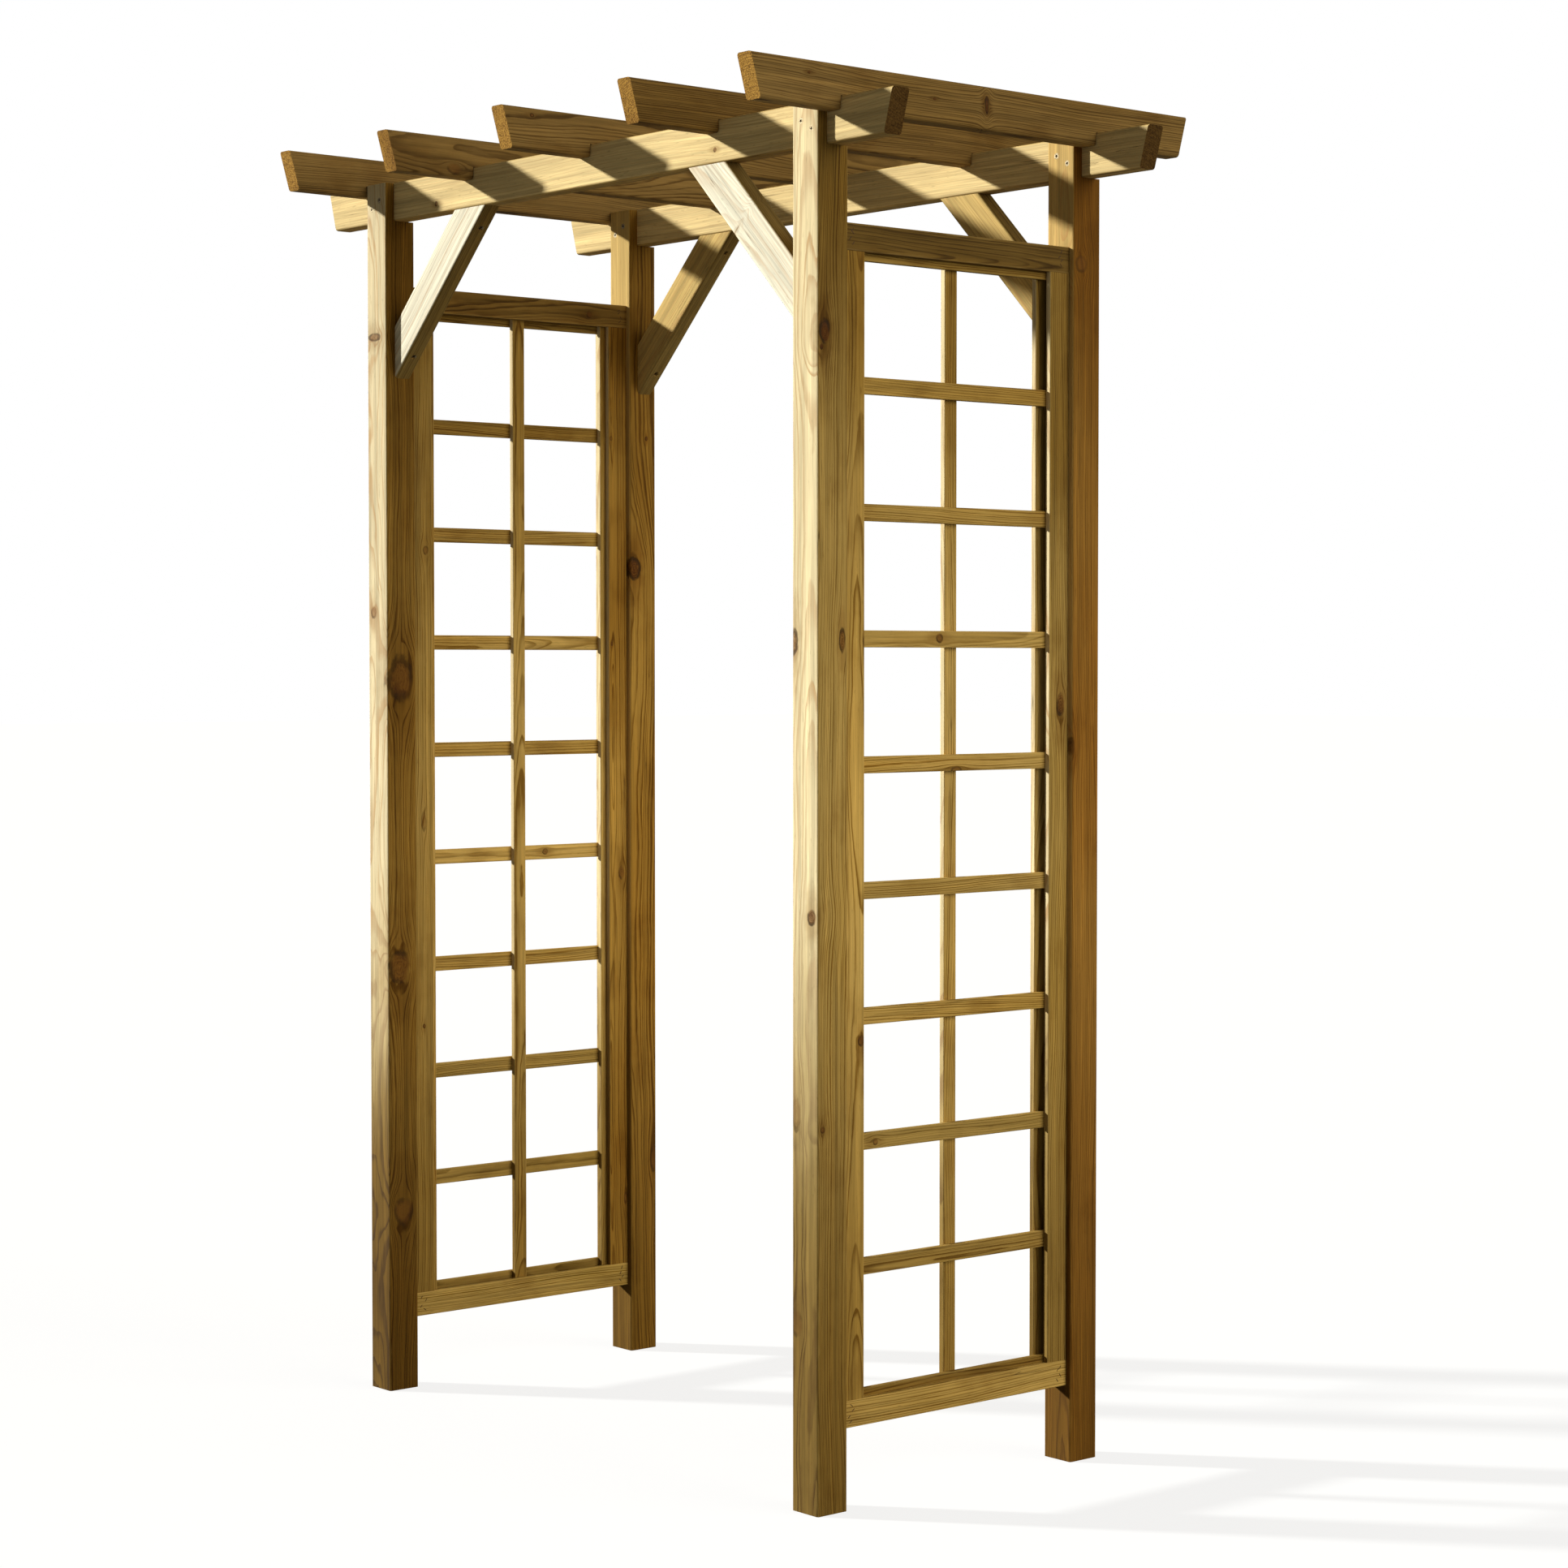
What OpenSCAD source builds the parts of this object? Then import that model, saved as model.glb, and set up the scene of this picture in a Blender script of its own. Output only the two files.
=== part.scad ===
// Garden arch: four posts, two beams, five notched rafters, four braces and two trellis sides.
// X runs across the walkway, Y along it with the front at -Y, and Z up from the ground.
// The origin is on the ground, under the middle of the roof.

/* [Overall] */
// Width over the outsides of the posts
arch_w = 1215; // [1000:5:1800]
// Depth from the front of the front posts to the back of the back posts
arch_d = 600; // [450:5:900]
// Height from the ground to the underside of the beams
clear_h = 2066; // [1980:1:2400]

/* [Posts] */
// Side of the square posts
post_w = 60; // [55:1:75]
// Thickness of the tongue that stands in front of each beam
tongue_t = 17.5; // [12:0.5:24]
// Drop of the tongue's top below the top of the beam
tongue_drop = 2; // [0:0.5:10]

/* [Beams] */
// Thickness of a beam
beam_t = 34; // [26:1:40]
// Height of a beam
beam_h = 67; // [60:1:110]
// Reach of a beam past the outside of the posts, along its top
beam_reach = 145; // [70:5:300]

/* [Rafters] */
// Thickness of a rafter
rafter_t = 32; // [24:1:45]
// Height of a rafter
rafter_h = 67; // [50:1:110]
// Reach of a rafter past the outer faces of the beams, along its top
rafter_reach = 175; // [80:5:300]
// Depth of the notch that sits over a beam
notch_h = 21; // [8:1:35]
// Gap between the side of a notch and the beam
notch_gap = 1; // [0.3:0.1:3]
// Distance between the three middle rafters
rafter_pitch = 329; // [200:1:420]
// Distance of the middle rafter to the right of centre
rafter_shift = 8; // [-20:1:20]

/* [Braces] */
// Thickness of a brace
brace_t = 32; // [24:1:40]
// Width of a brace across its slanted face
brace_w = 67; // [50:1:90]
// Distance from the corner of post and beam to the far edge of a brace
brace_leg = 275; // [180:5:400]

/* [Cuts and edges] */
// How much shorter a beam or rafter is below than on top, at each end
end_slope = 19; // [0:1:40]
// Rounding of the edges of beams, rafters and braces
board_edge = 5; // [1:0.5:8]
// Rounding of the edges of the posts
post_edge = 4; // [1:0.5:8]

/* [Side panels] */
// Height of a side panel
panel_h = 1830; // [1500:5:1850]
// Height of a side panel's underside above the ground
panel_lift = 124; // [40:1:130]
// Gap between a side panel and each post
panel_gap = 0.3; // [0.2:0.1:3]
// Width of the panel's frame battens
frame_w = 42; // [30:1:60]
// Thickness of the panel's frame battens
frame_t = 10; // [6:0.5:12]
// Width of a lath
lath_w = 26; // [18:1:40]
// Thickness of a lath
lath_t = 10; // [6:0.5:12]
// How far the outermost laths show past the frame battens
lath_show = 12; // [4:1:16]
// Distance between the centres of an end cross lath and the next one
end_bay = 201; // [120:1:300]
// Rounding of the edges of laths and frame battens
lath_edge = 1.5; // [0.5:0.5:2.5]

/* [Screws] */
// Diameter of a screw's shank
screw_d = 5; // [3:0.5:6]
// Diameter of a screw's countersunk head
head_d = 9.5; // [7:0.5:12]
// Height of a screw's head
head_h = 3; // [2:0.5:5]
// Space round a screw in its hole
screw_clear = 0.1; // [0.05:0.05:0.3]
// How far the screws in the tongues reach into the beams
tongue_screw_grip = 24; // [15:0.5:25]
// How far the screws in the rafters reach into the beams
rafter_screw_grip = 25; // [15:0.5:40]
// How far the screws in the braces reach into the post or the beam
brace_screw_grip = 44; // [20:0.5:55]
// Distance between a brace's screw and its inner edge, where the screw leaves the brace
brace_screw_edge = 17; // [10:0.5:25]
// Depth of a brace's screw heads below the slanted face
brace_screw_sink = 4; // [0:0.5:10]

/* [Hidden] */
// Four frame battens make one face of a panel
frame_pieces = ["top_rail", "bottom_rail", "front_stile", "back_stile"];
frame_faces = ["outer", "inner"];
uprights = ["front", "middle", "back"];
sides = ["left", "right"];
ends = ["front", "back"];
rafters = [1:5];
cross_laths = [1:10];

// Smooth circles for edges and screws
$fn = 32;
// Overlap of cutting shapes past the faces that they cut
over = 2;

// Timber and screw colours
post_colour = [0.64, 0.50, 0.24];
beam_colour = [0.60, 0.47, 0.23];
rafter_colour = [0.52, 0.38, 0.17];
brace_colour = [0.56, 0.43, 0.20];
frame_colour = [0.62, 0.49, 0.24];
lath_colour = [0.58, 0.45, 0.21];
screw_colour = [0.72, 0.70, 0.62];

// The front of the arch is -1 and the back +1, the left -1 and the right +1
function sign_of(name) = (name == "front" || name == "left") ? -1 : 1;

// Heights of the roof
beam_top = clear_h + beam_h;
rafter_z = beam_top - notch_h;
post_h = beam_top - tongue_drop;

// The beams stand over the posts, half their spacing in front of the origin and behind it
function beam_y(e) = e * (arch_d - post_w) / 2;
function post_front(e) = beam_y(e) - beam_t / 2 - tongue_t;
post_x = arch_w / 2 - post_w / 2;
beam_l = arch_w + 2 * beam_reach;
rafter_l = arch_d - post_w + beam_t + 2 * rafter_reach;

// The outer rafters lie against the posts, and the middle three are spaced by their own pitch
function rafter_x(i) =
    i == 1 ? -(arch_w + rafter_t) / 2 :
    i == 5 ? (arch_w + rafter_t) / 2 :
    rafter_shift + (i - 3) * rafter_pitch;

// Braces: the corner is where the post's inner face meets the beam
brace_corner_x = arch_w / 2 - post_w;

// Side panels stand between the posts, in the middle of their width
panel_d = arch_d - 2 * post_w - 2 * panel_gap;
panel_front = post_front(-1) + post_w + panel_gap;
panel_top = panel_lift + panel_h;

// The end cross laths show past the rails, and the free ones share the rest of the height
end_lath_low = panel_lift + frame_w + lath_show - lath_w;
end_lath_high = panel_top - frame_w - lath_show;
last = 10;
free_pitch = (end_lath_high - end_lath_low - 2 * end_bay) / (last - 3);
function cross_lath_z(i) =
    i == 1 ? end_lath_low :
    i == last ? end_lath_high :
    end_lath_low + end_bay + (i - 2) * free_pitch;

// The end upright laths show past the stiles in the same way
function upright_lath_y(u) =
    u == "front" ? panel_front + frame_w + lath_show - lath_w :
    u == "back" ? panel_front + panel_d - frame_w - lath_show :
    panel_front + (panel_d - lath_w) / 2;

// Places of the two screws in a tongue: from the post's outer face, and above the beam's underside
tongue_screws_at = [[16, 22], [40, 36]];

// A brace's screw goes in square to the slanted face, as far from the tip as it runs in the brace
brace_screw_in = brace_w - brace_screw_edge;

// Lengths of the screws, each through its timber and on into the next
tongue_screw_l = tongue_t + tongue_screw_grip;
rafter_screw_l = rafter_h - notch_h + rafter_screw_grip;
brace_screw_l = brace_screw_in - brace_screw_sink + brace_screw_grip;

// Drive recess in a screw's head
recess_d = 4.5;
recess_h = 1.8;
screw_tip = 6;

// A rectangle with rounded corners, from the origin
module eased_section(w, h, r) {
    union() {
        translate([r, 0]) square([w - 2 * r, h]);
        translate([0, r]) square([w, h - 2 * r]);
        for (x = [r, w - r], y = [r, h - r])
            translate([x, y]) circle(r);
    }
}

// Lengths of timber along each axis, with their long edges rounded
module timber_z(x, y, length, r) {
    linear_extrude(length) eased_section(x, y, r);
}

module timber_x(length, y, z, r) {
    rotate([90, 0, 90]) linear_extrude(length) eased_section(y, z, r);
}

module timber_y(x, length, z, r) {
    translate([0, length, 0]) rotate([90, 0, 0]) linear_extrude(length) eased_section(x, z, r);
}

// A board on edge along X, centred, with its ends sloping back below
module roof_board(length, t, h) {
    slope = end_slope / h * over;
    intersection() {
        translate([-length / 2 - over, -t / 2, 0])
            timber_x(length + 2 * over, t, h, board_edge);
        translate([0, t / 2 + over, 0]) rotate([90, 0, 0]) linear_extrude(t + 2 * over)
            polygon([
                [-length / 2 + end_slope + slope, -over],
                [length / 2 - end_slope - slope, -over],
                [length / 2 + slope, h + over],
                [-length / 2 - slope, h + over]
            ]);
    }
}

// A countersunk screw pointing down, with the top of its head at the origin
module screw(length) {
    difference() {
        union() {
            translate([0, 0, -head_h]) cylinder(h = head_h, d1 = screw_d, d2 = head_d);
            translate([0, 0, -length + screw_tip])
                cylinder(h = length - screw_tip - head_h, d = screw_d);
            translate([0, 0, -length]) cylinder(h = screw_tip, d1 = 1, d2 = screw_d);
        }
        translate([0, 0, -recess_h]) cylinder(h = recess_h + over, d = recess_d, $fn = 6);
    }
}

// The hole for such a screw, open above its head by the depth that the head is sunk
module screw_hole(length, sink) {
    clear = 2 * screw_clear;
    union() {
        translate([0, 0, -length - screw_clear]) cylinder(h = length, d = screw_d + clear);
        translate([0, 0, -head_h - screw_clear])
            cylinder(h = head_h + screw_clear, d1 = screw_d + clear, d2 = head_d + clear);
        translate([0, 0, -0.01]) cylinder(h = sink + over, d = head_d + clear);
    }
}

// Puts its child at each screw of one tongue, of one brace, or at the crossing of a rafter and a beam
module at_tongue_screws(s, e) {
    for (p = tongue_screws_at)
        translate([s * (arch_w / 2 - p[0]), post_front(e), clear_h + p[1]])
            rotate([90, 0, 0]) children();
}

module at_brace_screws(s, e) {
    from_tip = brace_screw_in / sqrt(2);
    sunk = brace_screw_sink / sqrt(2);
    for (p = [[from_tip, brace_leg - from_tip], [brace_leg - from_tip, from_tip]])
        translate([s * (brace_corner_x - p[0] + sunk), beam_y(e), clear_h - p[1] + sunk])
            rotate([0, s * -135, 0]) children();
}

module at_rafter_screw(i, e) {
    translate([rafter_x(i), beam_y(e), rafter_z + rafter_h]) children();
}

// A post with its top cut back behind the tongue, as a seat for the beam
module post(s, e) {
    color(post_colour)
        difference() {
            translate([s * post_x - post_w / 2, post_front(e), 0])
                timber_z(post_w, post_w, post_h, post_edge);
            translate([s * post_x - post_w / 2 - over, post_front(e) + tongue_t, clear_h])
                cube([post_w + 2 * over, post_w, beam_h + over]);
            at_tongue_screws(s, e) screw_hole(tongue_screw_l, 0);
            at_brace_screws(s, e) screw_hole(brace_screw_l, brace_screw_sink);
        }
}

module beam(e) {
    color(beam_colour)
        difference() {
            translate([0, beam_y(e), clear_h]) roof_board(beam_l, beam_t, beam_h);
            for (s = [-1, 1]) {
                at_tongue_screws(s, e) screw_hole(tongue_screw_l, 0);
                at_brace_screws(s, e) screw_hole(brace_screw_l, brace_screw_sink);
            }
            for (i = rafters)
                at_rafter_screw(i, e) screw_hole(rafter_screw_l, 0);
        }
}

// A rafter along Y, notched over both beams
module rafter(i) {
    notch_w = beam_t + 2 * notch_gap;
    color(rafter_colour)
        difference() {
            translate([rafter_x(i), 0, rafter_z]) rotate([0, 0, 90])
                roof_board(rafter_l, rafter_t, rafter_h);
            for (e = [-1, 1]) {
                translate([rafter_x(i) - rafter_t, beam_y(e) - notch_w / 2, rafter_z - over])
                    cube([2 * rafter_t, notch_w, notch_h + over]);
                at_rafter_screw(i, e) screw_hole(rafter_screw_l, 0);
            }
        }
}

// A 45 degree board, cut to the corner between post and beam
module brace(s, e) {
    reach = brace_leg * 2;
    color(brace_colour)
        difference() {
            translate([s * brace_corner_x, beam_y(e), clear_h])
                intersection() {
                    rotate([0, s * 45, 0])
                        translate([-reach / 2, -brace_t / 2, -brace_leg / sqrt(2)])
                            timber_x(reach, brace_t, brace_w, board_edge);
                    translate([s < 0 ? 0 : -reach, -brace_t, -reach])
                        cube([reach, 2 * brace_t, reach]);
                }
            at_brace_screws(s, e) screw_hole(brace_screw_l, brace_screw_sink);
        }
}

// The panels are built on the right and mirrored to the left
module on_side(s) {
    if (s < 0)
        mirror([1, 0, 0]) children();
    else
        children();
}

// One batten of a panel's frame: the rails run the full depth and the stiles stand between them
module frame_batten(s, face, piece) {
    x = face == "outer" ? post_x + lath_t : post_x - lath_t - frame_t;
    stile_h = panel_h - 2 * frame_w;
    color(frame_colour)
        on_side(s) {
            if (piece == "top_rail")
                translate([x, panel_front, panel_top - frame_w])
                    timber_y(frame_t, panel_d, frame_w, lath_edge);
            if (piece == "bottom_rail")
                translate([x, panel_front, panel_lift])
                    timber_y(frame_t, panel_d, frame_w, lath_edge);
            if (piece == "front_stile")
                translate([x, panel_front, panel_lift + frame_w])
                    timber_z(frame_t, frame_w, stile_h, lath_edge);
            if (piece == "back_stile")
                translate([x, panel_front + panel_d - frame_w, panel_lift + frame_w])
                    timber_z(frame_t, frame_w, stile_h, lath_edge);
        }
}

// Cross laths lie behind the outer frame, and upright laths in front of the inner one
module cross_lath(s, i) {
    color(lath_colour)
        on_side(s) translate([post_x, panel_front, cross_lath_z(i)])
            timber_y(lath_t, panel_d, lath_w, lath_edge);
}

module upright_lath(s, u) {
    color(lath_colour)
        on_side(s) translate([post_x - lath_t, upright_lath_y(u), panel_lift])
            timber_z(lath_t, lath_w, panel_h, lath_edge);
}

module tongue_screws() {
    color(screw_colour)
        for (s = [-1, 1], e = [-1, 1])
            at_tongue_screws(s, e) screw(tongue_screw_l);
}

module brace_screws() {
    color(screw_colour)
        for (s = [-1, 1], e = [-1, 1])
            at_brace_screws(s, e) screw(brace_screw_l);
}

module rafter_screws() {
    color(screw_colour)
        for (i = rafters, e = [-1, 1])
            at_rafter_screw(i, e) screw(rafter_screw_l);
}

for (e = ends, s = sides)
    post(sign_of(s), sign_of(e));
for (e = ends)
    beam(sign_of(e));
for (i = rafters)
    rafter(i);
for (e = ends, s = sides)
    brace(sign_of(s), sign_of(e));
for (s = sides, f = frame_faces, p = frame_pieces)
    frame_batten(sign_of(s), f, p);
for (s = sides, i = cross_laths)
    cross_lath(sign_of(s), i);
for (s = sides, u = uprights)
    upright_lath(sign_of(s), u);
tongue_screws();
brace_screws();
rafter_screws();
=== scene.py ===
import math
import random
import bpy
from mathutils import Matrix, Vector


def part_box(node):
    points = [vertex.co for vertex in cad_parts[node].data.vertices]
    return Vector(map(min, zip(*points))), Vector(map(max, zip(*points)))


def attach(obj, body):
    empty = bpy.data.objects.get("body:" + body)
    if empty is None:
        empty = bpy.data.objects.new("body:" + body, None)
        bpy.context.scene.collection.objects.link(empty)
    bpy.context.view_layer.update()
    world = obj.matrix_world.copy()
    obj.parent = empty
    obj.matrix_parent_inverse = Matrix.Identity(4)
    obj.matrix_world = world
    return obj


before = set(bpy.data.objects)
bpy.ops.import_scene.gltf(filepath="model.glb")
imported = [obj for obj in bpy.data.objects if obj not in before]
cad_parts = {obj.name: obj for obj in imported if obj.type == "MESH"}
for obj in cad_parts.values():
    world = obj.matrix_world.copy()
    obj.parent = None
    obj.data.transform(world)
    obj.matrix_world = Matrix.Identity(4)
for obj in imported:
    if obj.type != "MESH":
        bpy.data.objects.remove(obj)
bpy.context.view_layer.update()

MM = 0.001
WHITE = (1, 1, 1, 1)

# The photograph's viewpoint, to the right of the front at chest height, in metres and degrees
CAMERA_PLACE = (4.401, -3.600, 1.291)
CAMERA_TURN = (87.93, 0, 49.60)
CAMERA_SENSOR = 36
CAMERA_LENS = 77.0

# Floor and room. The floor's glow is seen by the camera alone
FLOOR_SIZE = 120
FLOOR_PAINT = (0.19, 0.19, 0.18, 1)
FLOOR_GLOW = 0.83
ROOM_COLOUR = (1.0, 0.90, 0.68, 1)
ROOM_STRENGTH = 0.12

# How fine each mark in the wood is: grains a metre, twice across the board and once along it
FIBRES = (850, 850, 16)
THREADS = (330, 330, 7)
STREAKS = (95, 95, 1.6)
CLOUDS = (6, 6, 2.0)
PATCHES = (16, 16, 10)
PORES = (480, 480, 480)
CHECKS = (150, 150, 2.6)
CHECKED_PLACES = (24, 24, 2.0)
FLECKS = (420, 420, 60)
NICKS = (60, 60, 25)
STRONG_RINGS = (9, 9, 2.2)
RING_BREAKS = (180, 180, 22)

# How fine the rings' bends are, and how far the slow and the shaky ones reach, in metres
SLOW_BENDS = (2.5, 2.5, 1.5)
FINE_BENDS = (20, 20, 5.5)
SHAKY_BENDS = (70, 70, 30)
SLOW_REACH = (0.055, 0.055, 0)
SHAKY_REACH = (0.0012, 0.0012, 0)

# How fine a knot's outline and the gaps in its dark line are, how many rings its heart has, and the
# side where the dark line is whole
KNOT_LUMPS = (55, 55, 40)
KNOT_EDGE = (300, 300, 120)
KNOT_GAPS = (38, 38, 30)
KNOT_RINGS = 4.6
CRESCENT_SIDE = (-0.6, -0.6, -0.4)

# Grains a metre in the upper edge of the painted shade low on the front faces, in the dull places on steel
# and in the spots of rust
PAINTED_SHADE_EDGE = (9, 9, 4)
DULL_PLACES = (700, 700, 700)
RUST_SPOTS = (900, 900, 900)

# Colours of the marks: the dull patches, late wood under the painted sunlight, checks, flecks and the painted
# shade low on the front faces
DULL_PATCH = (0.66, 0.58, 0.46, 1)
LATE_IN_SUN = (0.52, 0.27, 0.075, 1)
CHECK = (0.05, 0.03, 0.012, 1)
FLECK = (0.10, 0.055, 0.015, 1)
PAINTED_LOW_SHADE = (0.58, 0.55, 0.44, 1)

# Colours of a sawn end
SAWN_DARK = (0.30, 0.175, 0.050, 1)
SAWN_PALE = (0.52, 0.33, 0.105, 1)
TORN_PORE = (0.06, 0.032, 0.008, 1)
SAWN_RING = (0.36, 0.27, 0.16, 1)
SAWN_PATCH = (0.50, 0.42, 0.32, 1)

# Colours of a knot: the darker wood round it, its heart, and the dark line
KNOT_HALO = (0.42, 0.27, 0.11, 1)
KNOT_HEART = (0.29, 0.13, 0.030, 1)
KNOT_HEART_STAIN = (0.60, 0.48, 0.36, 1)
KNOT_CORE_STAIN = (0.52, 0.45, 0.38, 1)
KNOT_LINE = (0.020, 0.011, 0.004, 1)

# Colours of the boards: pale early wood, dark late wood, and the tint of the stained places
GOLD = ((0.69, 0.475, 0.150), (0.29, 0.160, 0.026), (0.78, 0.70, 0.48))
OLIVE = ((0.66, 0.46, 0.150), (0.27, 0.165, 0.030), (0.76, 0.74, 0.52))
BROWN = ((0.47, 0.280, 0.060), (0.19, 0.092, 0.010), (0.76, 0.66, 0.44))
RUSSET = ((0.52, 0.275, 0.056), (0.25, 0.11, 0.013), (0.82, 0.68, 0.44))
TAN = ((0.385, 0.240, 0.076), (0.155, 0.086, 0.022), (0.76, 0.70, 0.52))
UMBER = ((0.54, 0.36, 0.120), (0.20, 0.115, 0.030), (0.70, 0.62, 0.44))
HONEY = ((0.50, 0.34, 0.115), (0.22, 0.125, 0.030), (0.76, 0.70, 0.52))

# Colours of the painted sunlight on the front faces: cream as a rule, chalk on the front braces, straw on the
# back posts and braces, and buff on the beams
CREAM = (0.78, 0.68, 0.43)
CHALK = (0.86, 0.80, 0.60)
STRAW = (0.58, 0.41, 0.145)
BUFF = (0.79, 0.62, 0.30)

# Tints of the sawn ends
PLAIN_END = (1, 1, 1)
BEAM_END = (0.24, 0.20, 0.15)
RAFTER_END = (0.92, 0.78, 0.44)

# Steel: new zinc and what is left of it where it is dull, and the staples' rust
YELLOW_ZINC = (0.24, 0.20, 0.12)
DULLED = (0.45, 0.38, 0.3)
OLD_RUST = (0.035, 0.022, 0.012, 1)
NEW_RUST = (0.085, 0.040, 0.014, 1)

# How light the timber is at heights in metres: darker towards the foot, and under the roof, where it is
# painted shade. Green and blue go faster than red
HEIGHT_TINTS = ((0.0, 0.42), (0.35, 0.62), (1.0, 0.93), (1.45, 0.82), (1.7, 0.60), (1.95, 0.48), (2.3, 0.44))
GREEN_LOSS = 1.15
BLUE_LOSS = 1.6

# A face begins to count as turned to a side, or as a sawn end, at the first cosine, and does at the second
TURNED_TO = (0.6, 0.95)
TURNED_END = (0.75, 0.85)

# Share of the front's painted sunlight that the left faces get, and share of the height tint, in part painted
# shade, that the front faces are spared as painted lit
LEFT_PAINTED_SUN = 0.2
FRONT_PAINTED_LIT = 0.85

# Heights in metres between which the front faces go from painted shade to painted sunlight, and the share of
# painted sunlight that the shaded ones keep
PAINTED_SHADE_TOP = (0.55, 1.25)
PAINTED_SHADE_SUN = 0.12

# The grain's direction along each axis: columns are the board's own two sides and its length
ALONG = {
    "x": Matrix(((0, 0, 1), (1, 0, 0), (0, 1, 0))),
    "y": Matrix(((0, 1, 0), (0, 0, 1), (1, 0, 0))),
    "z": Matrix(((1, 0, 0), (0, 1, 0), (0, 0, 1))),
}

# Knots, by board: place and size in mm on the arch, and how dark each is
KNOTS = {
    "post_front_right": [
        ((607, -292, 1787), (13, 10, 18), 1.0), ((607, -256, 1324), (20, 6, 18), 0.7),
        ((551, -304, 1324), (10, 20, 20), 0.7), ((593, -304, 908), (9, 16, 12), 0.8),
        ((607, -298, 1763), (10, 3, 5), 1.0), ((558, -304, 609), (10, 14, 26), 0.25),
        ((559, -304, 288), (12, 16, 20), 0.2), ((607, -295, 587), (12, 4, 5), 0.7)],
    "post_front_left": [
        ((-548, -277, 1263), (30, 24, 37), 0.55), ((-548, -282, 752), (28, 20, 29), 0.6),
        ((-548, -276, 317), (28, 18, 24), 0.35), ((-585, -304, 1864), (18, 8, 7), 0.6),
        ((-590, -304, 1380), (8, 6, 11), 0.5)],
    "post_back_right": [((607, 253, 1927), (22, 11, 13), 0.2), ((607, 227, 1158), (22, 11, 17), 0.6)],
    "post_back_left": [
        ((-548, 245, 1467), (24, 14, 20), 0.9), ((-548, 290, 359), (18, 8, 24), 0.4),
        ((-548, 274, 1709), (8, 3, 4), 0.8)],
    "beam_front": [((343, -287, 2087), (4, 8, 4), 0.7), ((-417, -287, 2082), (4, 8, 4), 0.7)],
    "rafter_2": [((-304, -327, 2126), (9, 14, 9), 0.3)],
    "rafter_3": [((23, -405, 2167), (5, 4, 3), 0.7)],
    "rafter_5": [
        ((639, 12, 2150), (14, 3, 12), 1.0), ((639, -350, 2160), (5, 3, 2), 0.8),
        ((639, -98, 2148), (5, 3, 2), 0.8)],
    "brace_front_right": [((385, -286, 1949), (13, 16, 15), 0.45)],
    "right_outer_front_stile": [((598, -200, 1321), (8, 5, 12), 0.5), ((598, -209, 715), (8, 6, 8), 0.7)],
    "right_outer_back_stile": [((598, 219, 1223), (8, 9, 17), 0.8)],
    "left_inner_front_stile": [
        ((-558, -216, 1491), (8, 6, 8), 0.4), ((-558, -222, 1010), (8, 5, 18), 0.2),
        ((-558, -223, 643), (8, 3, 4), 0.7)],
    "left_inner_back_stile": [
        ((-558, 199, 1707), (8, 3, 4), 0.5), ((-558, 222, 899), (8, 7, 13), 0.5),
        ((-558, 230, 288), (8, 4, 12), 0.5), ((-558, 200, 1326), (8, 2, 3), 0.7)],
    "left_inner_top_rail": [((-558, 149, 1932), (8, 6, 6), 0.6)],
    "right_cross_lath_7": [((588, -37, 1329), (12, 7, 7), 0.7)],
    "right_cross_lath_6": [((588, -1, 1124), (12, 12, 5), 0.3)],
    "right_cross_lath_3": [((588, -170, 556), (12, 5, 5), 0.5)],
    "left_cross_lath_5": [((-578, 60, 944), (12, 6, 5), 0.5)],
}

# Where the pith lies beside the middle of each rafter, in metres
RAFTER_PITHS = {1: (0.07, 0.015), 2: (0.012, -0.045), 3: (0.03, -0.04), 4: (-0.06, 0.02), 5: (-0.08, 0.012)}

# Trellis boards whose kind of wood or tone is known. The others are drawn by lot
TRELLIS_KINDS = {
    "right_outer_front_stile": GOLD, "right_outer_back_stile": GOLD, "left_inner_front_stile": GOLD,
    "left_inner_back_stile": BROWN, "right_outer_top_rail": UMBER, "left_inner_top_rail": UMBER}
TRELLIS_TONES = {"right_outer_top_rail": 0.68, "left_inner_top_rail": 1.0, "left_inner_back_stile": 1.25}

# Staples, in mm: thickness, length and width of the crown, where the legs start, how far they reach,
# how worn the edges are, and how far the middle of the crown lies below the face
STAPLE_CROWN = (0.7, 6.5, 1.3)
STAPLE_LEG_START = 2.3
STAPLE_LEG = 1.5
STAPLE_EDGE = 0.25
STAPLE_SINK = 0.15

# The four staples at a corner: mm in from the rail's end and up from its underside, how far each may
# stray along the rail and across it, and the least and the most that it is turned, in degrees
STAPLE_SPOTS = ((16, 33), (20, 26), (15, 19), (18, 11))
STAPLE_STRAY = (3, 2)
STAPLE_TURN = (30, 60)


# Small helpers for shader trees

def put(tree, value, socket):
    """Wires a socket, or sets a number or colour. None leaves the socket alone."""
    if isinstance(value, bpy.types.NodeSocket):
        tree.links.new(value, socket)
    elif value is not None:
        socket.default_value = value


def math_node(tree, operation, a, b=None, c=None):
    node = tree.nodes.new("ShaderNodeMath")
    node.operation = operation
    put(tree, a, node.inputs[0])
    put(tree, b, node.inputs[1])
    put(tree, c, node.inputs[2])
    return node.outputs[0]


def times(tree, value, *factors):
    for factor in factors:
        value = math_node(tree, "MULTIPLY", value, factor)
    return value


def scaled(tree, value, by, plus):
    return math_node(tree, "MULTIPLY_ADD", value, by, plus)


def rest_of(tree, value):
    """What is left of 1."""
    return math_node(tree, "SUBTRACT", 1.0, value)


def vector_node(tree, operation, a, b=None):
    node = tree.nodes.new("ShaderNodeVectorMath")
    node.operation = operation
    put(tree, a, node.inputs[0])
    put(tree, b, node.inputs["Scale" if operation == "SCALE" else 1])
    return node.outputs["Value"] if operation in ("LENGTH", "DOT_PRODUCT") else node.outputs[0]


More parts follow.
